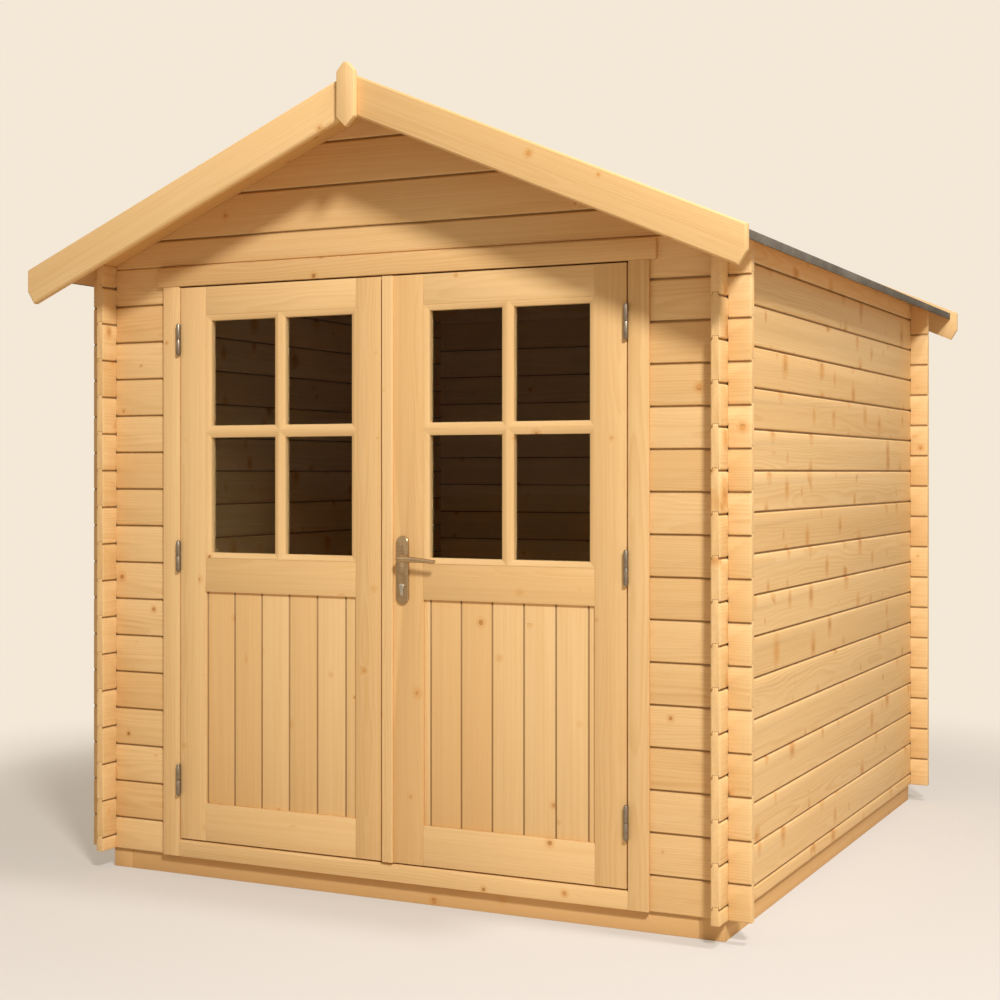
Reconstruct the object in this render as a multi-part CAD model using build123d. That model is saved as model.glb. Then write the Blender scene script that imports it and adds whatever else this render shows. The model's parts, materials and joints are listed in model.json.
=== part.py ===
from build123d import *
from math import atan, cos
import os

# Wooden garden shed of interlocking profiled boards, with a glazed double door.
# Millimetres. +Z is up, the door faces -Y and +X is to the right of someone who
# looks at the door. The origin is on the ground under the middle of the roof.

# Walls: boards on edge that cross and interlock at the corners.
wall_width = 2030.0        # outside of left wall to outside of right wall
wall_depth = 2200.0        # outside of front wall to outside of back wall
wall_thickness = 28.0
course = 114.0             # height that one board covers
first_course = 100.0       # lowest board of the front and back walls is cut down
wall_courses = 16          # boards in the front and back walls up to the gable
end_projection = 63.0      # how far board ends pass the crossing wall
board_chamfer = 4.0        # slope along a board's top, beside its tongue
shoulder_drop = 4.0        # tongue's foot below the line where two boards part
underside_chamfer = 2.5
tongue_width = 16.0
tongue_height = 6.0
tongue_play = 0.8          # clearance on each side of a tongue in its groove
seat = 0.3                 # clearance between pieces that rest on each other
overshoot = 1.0            # how far a cutting solid passes what it cuts

# Base beams and floor.
sill_height = 60.0
sill_width = 70.0
sill_inset = 12.0
joist_width = 60.0
joist_count = 3
floor_thickness = 19.0
floor_edge_gap = 6.0
floor_groove = 3.0
floor_board = 121.0

# Gables, seen from the front and the back.
gable_first = 84.0
gable_course = 128.0

# Roof.
roof_slope = 0.428         # rise over run
roof_board_thickness = 20.0
felt_thickness = 4.0
ridge_felt_half_width = 150.0
eave_overhang = 95.0       # roof boards beyond the side walls
gable_overhang = 213.0     # roof boards beyond the front and back walls
felt_lip = 26.0
purlin_width = 58.0
purlin_depth = 68.0

# Bargeboards and king boards on the roof's front and back edges.
barge_thickness = 22.0
barge_width = 104.0
barge_rise = 36.0          # top of the bargeboard above the roof boards' underside
barge_reach = 125.0        # end of the bargeboard beyond the side walls
barge_end_height = 65.0
barge_nose = 24.0
barge_chamfer = 5.0
king_width = 56.0
king_thickness = 20.0
king_tip_rise = 32.0
king_point_drop = 28.0
king_shoulder_drop = 125.0
king_tip_radius = 12.0

# Door frame.
frame_opening = 1475.0     # clear width between the jambs
jamb_face = 60.0
jamb_web = 20.0
frame_proud = 12.0         # casing thickness on each face of the wall
stop_width = 15.0
stop_depth = 9.0
threshold_height = 51.0
threshold_chamfer = 6.0
head_bottom = 1806.0
trim_height = 58.0
trim_reach = 20.0
trim_thickness = 14.0

# Door leaves.
leaf_thickness = 36.0
leaf_recess = 2.0          # leaf face behind the casing face
leaf_gap = 5.0             # clearance to jambs, threshold and head
meeting_gap = 7.5
meeting_offset = -19.5     # right leaf's free edge, measured from the middle
hinge_stile = 92.0
meeting_stile_left = 84.0
meeting_stile_right = 96.0
bottom_rail = 114.0
middle_rail = 102.0
middle_rail_top = 976.0
top_rail = 86.0
bead_width = 17.0
bar_width = 36.0
bar_rise = 15.0            # crossing bar above the middle of the window
bead_slope_width = 15.0
bead_slope_depth = 7.0
glass_depth = 24.0         # outer face of the glass behind the leaf face
glass_thickness = 4.0
panel_recess = 8.0
panel_thickness = 16.0
panel_board = 97.4
panel_first_left = 4.5     # first groove, measured from the stile on its left
panel_first_right = 21.0
panel_groove = 5.6
panel_groove_depth = 3.2
astragal_width = 35.0
astragal_thickness = 9.0
astragal_round = 3.0

# Hinges.
hinge_heights = (295.0, 980.0, 1643.0)
knuckle_radius = 7.0
knuckle_length = 44.5
knuckle_gap = 1.0
hinge_pin_radius = 2.5
hinge_pin_play = 0.35
hinge_pin_sides = 8        # pin and bore are facetted, as neither shows
hinge_flap_depth = 26.0
hinge_flap_thickness = 1.8

# Handle, lock and spindle on the right leaf.
handle_plate_width = 40.0
handle_plate_thickness = 7.0
handle_plate_offset = 66.0     # plate's middle from the right leaf's free edge
handle_plate_rim = 1.8
plate_above_spindle = 65.0
plate_below_cylinder = 51.0
spindle_height = 990.0
spindle_size = 8.0
spindle_hole_radius = 7.5
lock_centres = 80.0            # spindle's axis to the lock cylinder's axis
lever_neck_radius = 8.0
lever_neck_length = 36.0
lever_root_radius = 9.0
lever_length = 124.0
lever_thickness = 11.0
lever_tip_height = 9.5
lever_tip_slant = 4.0
lever_droop = 6.0
lever_chamfer = 2.8
cylinder_radius = 8.5
cylinder_leg = 10.0
cylinder_drop = 24.0
cylinder_proud = 3.0

# Worked out from the sizes above.
half_width = wall_width / 2
half_depth = wall_depth / 2
inner_half_width = half_width - wall_thickness
inner_half_depth = half_depth - wall_thickness
half_seat = seat / 2
half_course = course / 2
top_notch = course / 4     # the two top boards at a corner share this much each
front_joints = [sill_height] + [
    sill_height + first_course + course * i for i in range(wall_courses)
]
wall_top = front_joints[-1]
side_joints = (
    [sill_height]
    + [z - half_course for z in front_joints[1:]]
    + [wall_top]
)
gable_joints = [wall_top, wall_top + gable_first]
ridge_underside = wall_top + roof_slope * half_width
while gable_joints[-1] + gable_course < ridge_underside:
    gable_joints.append(gable_joints[-1] + gable_course)
gable_joints.append(ridge_underside + course)
slope_angle = atan(roof_slope)
roof_edge = half_width + eave_overhang
frame_half = frame_opening / 2
casing_face = -half_depth - frame_proud
leaf_face = casing_face + leaf_recess
leaf_back = leaf_face + leaf_thickness
leaf_bottom = sill_height + threshold_height + leaf_gap
leaf_top = head_bottom - leaf_gap
leaf_edge = frame_half - leaf_gap
hinge_x = frame_half - leaf_gap / 2
hinge_y = casing_face - knuckle_radius - seat
left_leaf_free_edge = meeting_offset - meeting_gap
barge_back = half_depth + gable_overhang + seat
barge_front = barge_back + barge_thickness
handle_x = meeting_offset + handle_plate_offset
cylinder_height = spindle_height - lock_centres
handle_plate_height = plate_above_spindle + lock_centres + plate_below_cylinder
handle_plate_middle = spindle_height + plate_above_spindle - handle_plate_height / 2


def block(x0, x1, y0, y1, z0, z1):
    """A box between two corners."""
    size = Box(x1 - x0, y1 - y0, z1 - z0)
    return Pos((x0 + x1) / 2, (y0 + y1) / 2, (z0 + z1) / 2) * size


def prism_xz(points, y0, y1):
    """An outline in X and Z, extruded from y0 to y1."""
    outline = Polyline([(x, y0, z) for x, z in points], close=True)
    return extrude(make_face(outline), amount=y1 - y0, dir=(0, 1, 0))


def prism_xy(points, z0, z1):
    """An outline in X and Y, extruded from z0 to z1."""
    outline = Polyline([(x, y, z0) for x, y in points], close=True)
    return extrude(make_face(outline), amount=z1 - z0, dir=(0, 0, 1))


def mirror_x(shape):
    """The same piece on the other side of the middle plane."""
    return mirror(shape, about=Plane.YZ)


def roof_line(x, rise=0.0):
    """Height of the roof boards' underside at x, raised by rise."""
    return ridge_underside - roof_slope * abs(x) + rise


def board_outline(z0, z1, tongue, groove):
    """Section of a wall board, across its thickness and its height.

    A broad tongue stands on the top between sloping shoulders. It bears in the
    groove of the board above, so that a shadow gap is left on both faces.
    """
    t = wall_thickness
    foot = (t - tongue_width) / 2
    lip = foot - tongue_play
    if groove:
        roof = z0 + tongue_height
        bottom = [(0, z0 + underside_chamfer), (lip, z0), (lip, roof)]
    else:
        bottom = [(0, z0 + underside_chamfer), (underside_chamfer, z0)]
    if tongue:
        shoulder = z1 - shoulder_drop
        tip = z1 + tongue_height
        top = [(0, shoulder - board_chamfer), (foot, shoulder), (foot, tip)]
    else:
        top = [(0, z1 - board_chamfer), (board_chamfer, z1)]
    inner_bottom = [(t - y, z) for y, z in reversed(bottom)]
    inner_top = [(t - y, z) for y, z in top]
    return bottom + inner_bottom + inner_top + top[::-1]


def plain_board(start, end, z0, z1, tongue=True, groove=True):
    """A wall board along X with its outer face at y = 0 and its inner at wall_thickness."""
    points = board_outline(z0 + half_seat, z1 - half_seat, tongue, groove)
    outline = Polyline([(start, y, z) for y, z in points], close=True)
    return extrude(make_face(outline), amount=end - start, dir=(1, 0, 0))


def notched_board(start, end, joints, index, crossings, others):
    """A board that saddles the boards of the walls it crosses.

    others are the joint heights of the crossing wall. The board is notched from
    below, up to the tongue of the board whose top lies inside it, and a lowest
    board that crosses none isn't notched. The two top boards at a corner share
    the last notch instead.
    """
    z0 = joints[index]
    z1 = joints[index + 1]
    last = index + 2 == len(joints)
    board = plain_board(start, end, z0, z1, tongue=not last, groove=index > 0)
    crossed = [z for z in others if z0 < z < z1]
    bearing = crossed[0] + tongue_height if crossed else z0
    if wall_top in crossed:
        bearing = wall_top - top_notch
    cap = wall_top - top_notch if z1 == wall_top else z1
    slot = wall_thickness / 2 + seat
    near, far = -overshoot, wall_thickness + overshoot
    for x in crossings:
        if bearing > z0:
            board -= block(x - slot, x + slot, near, far, z0 - overshoot, bearing + half_seat)
        if cap < z1:
            board -= block(x - slot, x + slot, near, far, cap - half_seat, z1 + overshoot)
    return board


def roof_space():
    """Everything above the roof boards' underside, to trim walls to the slope."""
    reach = half_width + course
    top = ridge_underside + wall_width
    low = roof_line(reach, -seat)
    points = [(-reach, low), (0, roof_line(0, -seat)), (reach, low), (reach, top), (-reach, top)]
    return prism_xz(points, -wall_depth, wall_depth)


def onto_front(board):
    return Pos(0, -half_depth, 0) * board


def onto_back(board):
    return Rot(0, 0, 180) * onto_front(board)


def onto_right(board):
    return Pos(half_width, 0, 0) * (Rot(0, 0, 90) * board)


def onto_left(board):
    return Rot(0, 0, 180) * onto_right(board)


def front_wall_side(side):
    """Boards of the front wall beside the door, on one side (-1 or 1)."""
    jamb = side * (frame_half + jamb_web + seat)
    tip = side * (half_width + end_projection)
    start, end = min(jamb, tip), max(jamb, tip)
    crossing = [side * (half_width - wall_thickness / 2)]
    boards = []
    for i in range(wall_courses):
        board = notched_board(start, end, front_joints, i, crossing, side_joints)
        boards.append(onto_front(board))
    boards[-1] -= roof_space()
    return boards


def back_wall():
    """Full-length boards of the back wall."""
    tip = half_width + end_projection
    middle = half_width - wall_thickness / 2
    boards = []
    for i in range(wall_courses):
        board = notched_board(-tip, tip, front_joints, i, [-middle, middle], side_joints)
        boards.append(onto_back(board))
    boards[-1] -= roof_space()
    return boards


def side_wall(place):
    """Full-length boards of a side wall. The top one is bevelled to the roof."""
    tip = half_depth + end_projection
    middle = half_depth - wall_thickness / 2
    boards = []
    joints = side_joints[:-1] + [wall_top + wall_thickness * roof_slope]
    for i in range(len(joints) - 1):
        board = notched_board(-tip, tip, joints, i, [-middle, middle], front_joints)
        boards.append(place(board))
    boards[-1] -= roof_space()
    return boards


def gable(place):
    """Boards of a gable between the side walls, cut to the roof and round the purlin."""
    reach = inner_half_width - seat
    trim = roof_space()
    hole = block(
        -purlin_width / 2 - seat, purlin_width / 2 + seat, -wall_depth, wall_depth,
        ridge_underside - purlin_depth - seat, ridge_underside + course,
    )
    boards = []
    for z0, z1 in zip(gable_joints, gable_joints[1:]):
        board = plain_board(-reach, reach, z0, z1, tongue=z1 < ridge_underside)
        board = place(board) - trim - hole
        boards.extend(board.solids())
    return boards


def base_beams():
    """Four beams under the walls, the long ones at the sides."""
    top = sill_height - half_seat
    x_out = half_width - sill_inset
    y_out = half_depth - sill_inset
    side = block(x_out - sill_width, x_out, -y_out, y_out, 0, top)
    reach = x_out - sill_width - seat
    front = block(-reach, reach, -y_out, -y_out + sill_width, 0, top)
    return {
        "base_beam_right": side,
        "base_beam_left": mirror_x(side),
        "base_beam_front": front,
        "base_beam_back": mirror(front, about=Plane.XZ),
    }


def floor_joists():
    """Joists between the front and back beams."""
    reach = half_depth - sill_inset - sill_width - seat
    span = wall_width - 2 * (sill_inset + sill_width)
    pitch = span / (joist_count + 1)
    joists = []
    for i in range(joist_count):
        x = -span / 2 + pitch * (i + 1)
        joist = block(
            x - joist_width / 2, x + joist_width / 2, -reach, reach, 0, sill_height - half_seat
        )
        joists.append(joist)
    return joists


def floor_boards():
    """The floor inside the walls, laid as grooved boards from side to side."""
    x = inner_half_width - floor_edge_gap
    y = inner_half_depth - floor_edge_gap - frame_proud
    z0 = sill_height + half_seat
    z1 = z0 + floor_thickness
    count = round(2 * y / floor_board)
    pitch = 2 * y / count
    points = [(-y, z0), (y, z0), (y, z1)]
    for i in reversed(range(1, count)):
        joint = -y + pitch * i
        points += [
            (joint + floor_groove / 2, z1),
            (joint, z1 - floor_groove),
            (joint - floor_groove / 2, z1),
        ]
    points.append((-y, z1))
    outline = Polyline([(-x, py, pz) for py, pz in points], close=True)
    return extrude(make_face(outline), amount=2 * x, dir=(1, 0, 0))


def ridge_purlin():
    """Purlin under the ridge, bevelled both ways, as long as the roof."""
    half = purlin_width / 2
    points = [
        (-half, ridge_underside - purlin_depth),
        (half, ridge_underside - purlin_depth),
        (half, roof_line(half, -seat)),
        (0, roof_line(0, -seat)),
        (-half, roof_line(half, -seat)),
    ]
    reach = half_depth + gable_overhang
    return prism_xz(points, -reach, reach)


def roof_boards_right():
    """Roof boarding of the right slope, mitred at the ridge."""
    rise = roof_board_thickness / cos(slope_angle)
    points = [
        (half_seat, roof_line(half_seat)),
        (roof_edge, roof_line(roof_edge)),
        (roof_edge, roof_line(roof_edge, rise)),
        (half_seat, roof_line(half_seat, rise)),
    ]
    reach = half_depth + gable_overhang
    return prism_xz(points, -reach, reach)


def roof_felt_right():
    """Felt on the right slope, turned down over the eave's edge."""
    low = roof_board_thickness / cos(slope_angle) + seat
    high = low + felt_thickness / cos(slope_angle)
    outer = roof_edge + seat + felt_thickness
    points = [
        (half_seat, roof_line(half_seat, low)),
        (roof_edge + seat, roof_line(roof_edge + seat, low)),
        (roof_edge + seat, roof_line(outer, high) - felt_lip),
        (outer, roof_line(outer, high) - felt_lip),
        (outer, roof_line(outer, high)),
        (half_seat, roof_line(half_seat, high)),
    ]
    reach = half_depth + gable_overhang
    return prism_xz(points, -reach, reach)


def ridge_felt():
    """Strip of felt folded over the ridge."""
    low = (roof_board_thickness + felt_thickness) / cos(slope_angle) + 2 * seat
    high = low + felt_thickness / cos(slope_angle)
    w = ridge_felt_half_width
    points = [
        (-w, roof_line(w, low)),
        (0, roof_line(0, low)),
        (w, roof_line(w, low)),
        (w, roof_line(w, high)),
        (0, roof_line(0, high)),
        (-w, roof_line(w, high)),
    ]
    reach = half_depth + gable_overhang
    return prism_xz(points, -reach, reach)


def bargeboard_front_right():
    """Bargeboard with a nosed foot and chamfered front edges."""
    drop = barge_width / cos(slope_angle)
    end = half_width + barge_reach
    nose = end - barge_nose
    points = [
        (half_seat, roof_line(half_seat, barge_rise)),
        (end, roof_line(end, barge_rise)),
        (end, roof_line(end, barge_rise) - barge_end_height),
        (nose, roof_line(nose, barge_rise) - drop),
        (half_seat, roof_line(half_seat, barge_rise) - drop),
    ]
    board = prism_xz(points, -barge_front, -barge_back)
    front_face = board.faces().sort_by(Axis.Y)[0]
    edges = [e for e in front_face.edges() if abs(e.center().X - half_seat) > 1]
    return chamfer(edges, barge_chamfer)


def king_board_front():
    """Short pointed board over the joint of the bargeboards."""
    half = king_width / 2
    shoulder = roof_line(0, barge_rise)
    tip = shoulder + king_tip_rise
    low = shoulder - king_shoulder_drop
    points = [
        (-half, low), (0, low - king_point_drop), (half, low),
        (half, shoulder), (0, tip), (-half, shoulder),
    ]
    front = -barge_front - seat - king_thickness
    board = prism_xz(points, front, -barge_front - seat)
    tip_edge = board.edges().filter_by(Axis.Y).sort_by(Axis.Z)[-1]
    return fillet(tip_edge, king_tip_radius)


def door_jamb_right():
    """Jamb of U section that wraps the ends of the wall boards, and its door stop."""
    x0 = frame_half
    web = x0 + jamb_web
    face = x0 + jamb_face
    outer = -half_depth - seat
    inner = -inner_half_depth + seat
    back = -inner_half_depth + frame_proud
    points = [
        (x0, casing_face), (face, casing_face), (face, outer), (web, outer),
        (web, inner), (face, inner), (face, back), (x0, back),
    ]
    z0 = sill_height + half_seat
    z1 = head_bottom - half_seat
    jamb = prism_xy(points, z0, z1)
    stop = block(x0 - stop_width, x0 - half_seat, back - stop_depth, back, z0, z1)
    return [jamb, stop]


def door_head():
    """Head board between the wall ends, over the jambs."""
    x = frame_half + jamb_web
    return block(-x, x, -half_depth, -inner_half_depth, head_bottom + half_seat, wall_top - half_seat)


def door_threshold():
    """Threshold between the jambs, with an eased outer edge."""
    x = frame_half - seat
    back = -inner_half_depth + frame_proud - stop_depth - seat
    sill = block(
        -x, x, casing_face, back,
        sill_height + half_seat, sill_height + threshold_height,
    )
    edge = sill.edges().filter_by(Axis.X).sort_by(lambda e: e.center().Z - e.center().Y)[-1]
    return chamfer(edge, threshold_chamfer)


def door_head_trims():
    """Flat trims over the head, outside and inside."""
    x = frame_half + jamb_face + trim_reach
    z0 = head_bottom + half_seat
    z1 = head_bottom + trim_height
    outer = block(-x, x, -half_depth - seat - trim_thickness, -half_depth - seat, z0, z1)
    inner = block(-x, x, -inner_half_depth + seat, -inner_half_depth + seat + trim_thickness, z0, z1)
    return [outer, inner]


def leaf_field(side):
    """Inner edges of a leaf's stiles, from low x to high x."""
    if side < 0:
        return -leaf_edge + hinge_stile, left_leaf_free_edge - meeting_stile_left
    return meeting_offset + astragal_width + meeting_stile_right, leaf_edge - hinge_stile


def leaf_stiles(side):
    """Two uprights of a leaf."""
    low, high = leaf_field(side)
    left = -leaf_edge if side < 0 else meeting_offset
    right = left_leaf_free_edge if side < 0 else leaf_edge
    one = block(left, low, leaf_face, leaf_back, leaf_bottom, leaf_top)
    two = block(high, right, leaf_face, leaf_back, leaf_bottom, leaf_top)
    if side > 0:
        one -= spindle_hole()
        one -= cylinder_body(seat, leaf_face - overshoot, leaf_back + overshoot)
    return [one, two]


def leaf_rails(side):
    """Bottom, middle and top rails of a leaf, between its stiles."""
    low, high = leaf_field(side)
    spans = [
        (leaf_bottom, leaf_bottom + bottom_rail),
        (middle_rail_top - middle_rail, middle_rail_top),
        (leaf_top - top_rail, leaf_top),
    ]
    return [
        block(low + seat, high - seat, leaf_face, leaf_back, z0, z1)
        for z0, z1 in spans
    ]


def glazing_grid(side, outer):
    """Beads and crossing bars of one face, with four bevelled windows."""
    low, high = leaf_field(side)
    bottom, top = middle_rail_top, leaf_top - top_rail
    front = leaf_face if outer else leaf_face + glass_depth + glass_thickness + seat
    back = leaf_face + glass_depth - seat if outer else leaf_back
    grid = block(low + seat, high - seat, front, back, bottom + seat, top - seat)
    show = front if outer else back
    slope = bead_slope_depth if outer else -bead_slope_depth
    bar_x = (low + high) / 2
    bar_z = (bottom + top) / 2 + bar_rise
    half = bar_width / 2
    for x0, x1 in ((low + bead_width, bar_x - half), (bar_x + half, high - bead_width)):
        for z0, z1 in ((bottom + bead_width, bar_z - half), (bar_z + half, top - bead_width)):
            hole = block(x0, x1, front - overshoot, back + overshoot, z0, z1)
            centre = ((x0 + x1) / 2, show, (z0 + z1) / 2)
            wide = Plane(centre, x_dir=(1, 0, 0), z_dir=(0, -1, 0))
            bevel = loft([
                wide * Rectangle(x1 - x0 + 2 * bead_slope_width, z1 - z0 + 2 * bead_slope_width),
                wide.offset(-slope) * Rectangle(x1 - x0, z1 - z0),
            ])
            grid = grid - hole - bevel
    return grid


def leaf_glass(side):
    """Pane behind the bars of one leaf."""
    low, high = leaf_field(side)
    y0 = leaf_face + glass_depth
    z0, z1 = middle_rail_top + seat, leaf_top - top_rail - seat
    return block(low + seat, high - seat, y0, y0 + glass_thickness, z0, z1)


def leaf_panel(side):
    """Lower panel of upright boards with V-grooves on both faces."""
    low, high = leaf_field(side)
    x0, x1 = low + seat, high - seat
    y0 = leaf_face + panel_recess
    y1 = y0 + panel_thickness
    g = panel_groove / 2
    first = low + (panel_first_left if side < 0 else panel_first_right)
    whole_boards = int((x1 - g - first) // panel_board)
    joints = [first + i * panel_board for i in range(whole_boards + 1)]
    depth = panel_groove_depth
    front = [(x0, y0)]
    for x in joints:
        front += [(x - g, y0), (x, y0 + depth), (x + g, y0)]
    front.append((x1, y0))
    back = [(x1, y1)]
    for x in reversed(joints):
        back += [(x + g, y1), (x, y1 - depth), (x - g, y1)]
    back.append((x0, y1))
    z0 = leaf_bottom + bottom_rail + seat
    z1 = middle_rail_top - middle_rail - seat
    return prism_xy(front + back, z0, z1)


def astragal():
    """Cover strip on the right leaf's free edge."""
    x0 = meeting_offset
    y1 = leaf_face - seat
    strip = block(x0, x0 + astragal_width, y1 - astragal_thickness, y1, leaf_bottom, leaf_top)
    edges = strip.edges().filter_by(Axis.Z).sort_by(Axis.Y)[0:2]
    return fillet(edges, astragal_round)


def knuckle(height, low, bored):
    """Half of a hinge barrel at the origin's axis, below or above the middle."""
    z0 = height - knuckle_gap / 2 - knuckle_length if low else height + knuckle_gap / 2
    barrel = Pos(0, 0, z0 + knuckle_length / 2) * Cylinder(knuckle_radius, knuckle_length)
    if bored:
        barrel -= hinge_pin(hinge_pin_play, z0 - overshoot, z0 + knuckle_length - knuckle_gap)
    return barrel, z0


def hinge_pin(play, z0, z1):
    """The pin on the hinge's axis, or its bore when there is play around it."""
    section = Plane((0, 0, z0)) * RegularPolygon(hinge_pin_radius + play, hinge_pin_sides)
    return extrude(section, amount=z1 - z0)


def frame_hinge(side, height):
    """Lower half of a hinge, on the jamb, with its pin."""
    barrel, z0 = knuckle(height, True, False)
    pin_base = z0 + knuckle_length
    pin = hinge_pin(0, pin_base - overshoot, pin_base + knuckle_length - 2 * knuckle_gap)
    inner = leaf_gap / 2 - seat - hinge_flap_thickness
    flap = block(inner, inner + hinge_flap_thickness, 0, hinge_flap_depth, z0, z0 + knuckle_length)
    half = barrel + pin + flap
    half = half if side > 0 else mirror_x(half)
    return Pos(side * hinge_x, hinge_y, 0) * half


def leaf_hinge(side, height):
    """Upper half of a hinge, on the leaf's edge, bored for the pin."""
    barrel, z0 = knuckle(height, False, True)
    outer = leaf_gap / 2 - seat
    flap = block(
        -outer, -outer + hinge_flap_thickness,
        (hinge_pin_radius + knuckle_radius) / 2, hinge_flap_depth, z0, z0 + knuckle_length,
    )
    half = barrel + flap
    half = half if side > 0 else mirror_x(half)
    return Pos(side * hinge_x, hinge_y, 0) * half


def spindle_hole():
    """Round hole for the spindle through the right leaf."""
    hole = Rot(90, 0, 0) * Cylinder(spindle_hole_radius, leaf_thickness + 2 * handle_plate_width)
    return Pos(handle_x, (leaf_face + leaf_back) / 2, spindle_height) * hole


def cylinder_body(play, y0, y1):
    """Lock cylinder: a round core over a narrower leg, from y0 to y1."""
    core = Rot(90, 0, 0) * Cylinder(cylinder_radius + play, y1 - y0)
    leg_half = cylinder_leg / 2 + play
    leg = block(-leg_half, leg_half, -(y1 - y0) / 2, (y1 - y0) / 2, -cylinder_drop - play, 0)
    return Pos(handle_x, (y0 + y1) / 2, cylinder_height) * (core + leg)


def lock_cylinder():
    """The lock cylinder through both plates and the leaf."""
    proud = handle_plate_thickness + cylinder_proud + seat
    return cylinder_body(0, leaf_face - proud, leaf_back + proud)


def handle_plate(outer):
    """Long plate with round ends, bored for the spindle and cut for the lock."""
    shape = SlotOverall(handle_plate_height, handle_plate_width, rotation=90)
    y = leaf_face - seat if outer else leaf_back + seat
    direction = -1 if outer else 1
    plane = Plane((handle_x, y, handle_plate_middle), x_dir=(1, 0, 0), z_dir=(0, -1, 0))
    plate = extrude(plane * shape, amount=-direction * handle_plate_thickness)
    rim = plate.faces().sort_by(Axis.Y)[0 if outer else -1].edges()
    plate = chamfer(rim, handle_plate_rim)
    plate -= spindle_hole()
    return plate - cylinder_body(seat, leaf_face - handle_plate_width, leaf_back + handle_plate_width)


def lever_outline():
    """Lever seen from the front: round at the neck, tapered and a little drooping."""
    tip_top = lever_tip_height / 2 - lever_droop
    tip_bottom = tip_top - lever_tip_height
    bar = Polygon(
        (0, lever_root_radius), (0, -lever_root_radius),
        (lever_length - lever_tip_slant, tip_bottom), (lever_length, tip_top),
        align=None,
    )
    return Circle(lever_root_radius) + bar


def lever_half():
    """Neck to -Y and lever to +X of one side."""
    length = lever_neck_length - lever_thickness / 2
    neck = Pos(0, -length / 2, 0) * (Rot(90, 0, 0) * Cylinder(lever_neck_radius, length))
    face = Plane((0, -lever_neck_length, 0), x_dir=(1, 0, 0), z_dir=(0, -1, 0))
    bar = extrude(face * lever_outline(), amount=-lever_thickness)
    rim = bar.faces().sort_by(Axis.Y)[0].edges()
    return neck + chamfer(rim, lever_chamfer)


def lever_handle():
    """Both levers on one square spindle."""
    y_out = leaf_face - handle_plate_thickness - 2 * seat
    y_in = leaf_back + handle_plate_thickness + 2 * seat
    outer = Pos(handle_x, y_out, spindle_height) * lever_half()
    inner = mirror(lever_half(), about=Plane.XZ)
    inner = Pos(handle_x, y_in, spindle_height) * inner
    s = spindle_size / 2
    spindle = block(
        handle_x - s, handle_x + s, y_out - s, y_in + s, spindle_height - s, spindle_height + s
    )
    return outer + spindle + inner


def build_all():
    """Every node's solids by name."""
    barge = bargeboard_front_right()
    king = king_board_front()
    back_barge = mirror(barge, about=Plane.XZ)
    jamb = door_jamb_right()
    roof = roof_boards_right()
    felt = roof_felt_right()
    nodes = dict(base_beams())
    nodes.update({
        "floor_joists": floor_joists(),
        "floor_boards": floor_boards(),
        "front_wall_left": front_wall_side(-1),
        "front_wall_right": front_wall_side(1),
        "back_wall": back_wall(),
        "left_wall": side_wall(onto_left),
        "right_wall": side_wall(onto_right),
        "front_gable": gable(onto_front),
        "back_gable": gable(onto_back),
        "ridge_purlin": ridge_purlin(),
        "roof_boards_left": mirror_x(roof),
        "roof_boards_right": roof,
        "roof_felt_left": mirror_x(felt),
        "roof_felt_right": felt,
        "ridge_felt": ridge_felt(),
        "bargeboard_front_left": mirror_x(barge),
        "bargeboard_front_right": barge,
        "bargeboard_back_left": mirror_x(back_barge),
        "bargeboard_back_right": back_barge,
        "king_board_front": king,
        "king_board_back": mirror(king, about=Plane.XZ),
        "door_jamb_left": mirror_x(jamb),
        "door_jamb_right": jamb,
        "door_head": door_head(),
        "door_threshold": door_threshold(),
        "door_head_trims": door_head_trims(),
        "astragal": astragal(),
        "handle_plates": [handle_plate(True), handle_plate(False)],
        "lock_cylinder": lock_cylinder(),
        "lever_handle": lever_handle(),
    })
    for name, side in (("left", -1), ("right", 1)):
        nodes["frame_hinges_" + name] = [frame_hinge(side, z) for z in hinge_heights]
        nodes[name + "_leaf_hinges"] = [leaf_hinge(side, z) for z in hinge_heights]
        nodes[name + "_leaf_stiles"] = leaf_stiles(side)
        nodes[name + "_leaf_rails"] = leaf_rails(side)
        nodes[name + "_leaf_bars"] = [glazing_grid(side, True), glazing_grid(side, False)]
        nodes[name + "_leaf_glass"] = leaf_glass(side)
        nodes[name + "_leaf_panel"] = leaf_panel(side)
    return nodes


def write_parts():
    """One STEP file for each node."""
    os.makedirs("parts", exist_ok=True)
    for name, shape in build_all().items():
        solids = []
        for piece in shape if isinstance(shape, list) else [shape]:
            solids.extend(piece.solids())
        whole = solids[0] if len(solids) == 1 else Compound(solids)
        export_step(whole, "parts/" + name + ".step")


write_parts()
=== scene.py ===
import json
import logging
import math
import random
from dataclasses import dataclass
from enum import Enum
from typing import Any, Callable, Optional, Sequence

import bmesh
import bpy
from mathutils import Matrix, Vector


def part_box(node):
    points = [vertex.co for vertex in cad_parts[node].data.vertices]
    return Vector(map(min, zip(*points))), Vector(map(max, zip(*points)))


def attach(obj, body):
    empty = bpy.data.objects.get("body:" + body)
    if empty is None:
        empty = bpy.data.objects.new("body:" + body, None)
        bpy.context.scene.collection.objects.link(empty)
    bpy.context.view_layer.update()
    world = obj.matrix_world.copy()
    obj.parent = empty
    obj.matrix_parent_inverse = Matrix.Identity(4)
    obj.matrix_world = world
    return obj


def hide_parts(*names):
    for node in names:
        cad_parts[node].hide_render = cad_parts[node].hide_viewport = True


# Looks of a gabled garden shed of interlocking softwood boards with a glazed double
# door: eased and knotty timber, mineral felt, clear panes and satin door furniture.

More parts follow.
